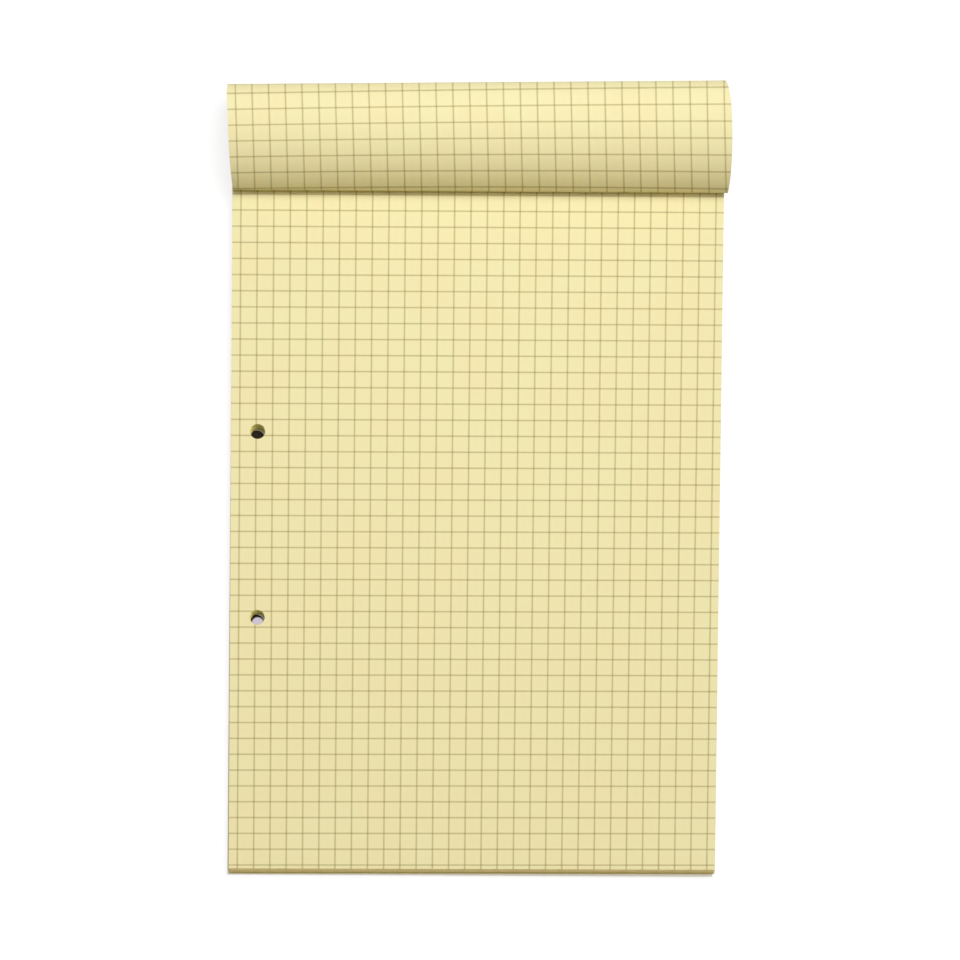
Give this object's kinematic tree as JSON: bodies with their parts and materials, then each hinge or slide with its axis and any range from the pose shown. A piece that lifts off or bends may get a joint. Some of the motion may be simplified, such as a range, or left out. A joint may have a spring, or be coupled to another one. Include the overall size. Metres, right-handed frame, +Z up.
{
  "type": "refill pad",
  "caption": "Head-glued pad of tinted squared paper with punched filing holes, its cover and first sheets turned back over the head in a roll.",
  "frame": {"origin": "centre of the pad's footprint, the roll included, on the table it lies on", "axes": "+X to the right of the page, +Y towards the head and the roll, +Z up out of the page"},
  "size_m": [0.2126, 0.344, 0.0329],
  "materials": {
    "tinted_paper": "uncoated, with a printed square ruling",
    "cover_card": "smooth dark card",
    "greyboard": "rough recycled board",
    "padding_glue": "dried flexible adhesive"
  },
  "bodies": {
    "root": {"page_block": "tinted_paper", "turned_sheets": "tinted_paper", "front_cover": "cover_card", "backing_board": "greyboard", "head_glue": "padding_glue"}
  },
  "joints": []
}
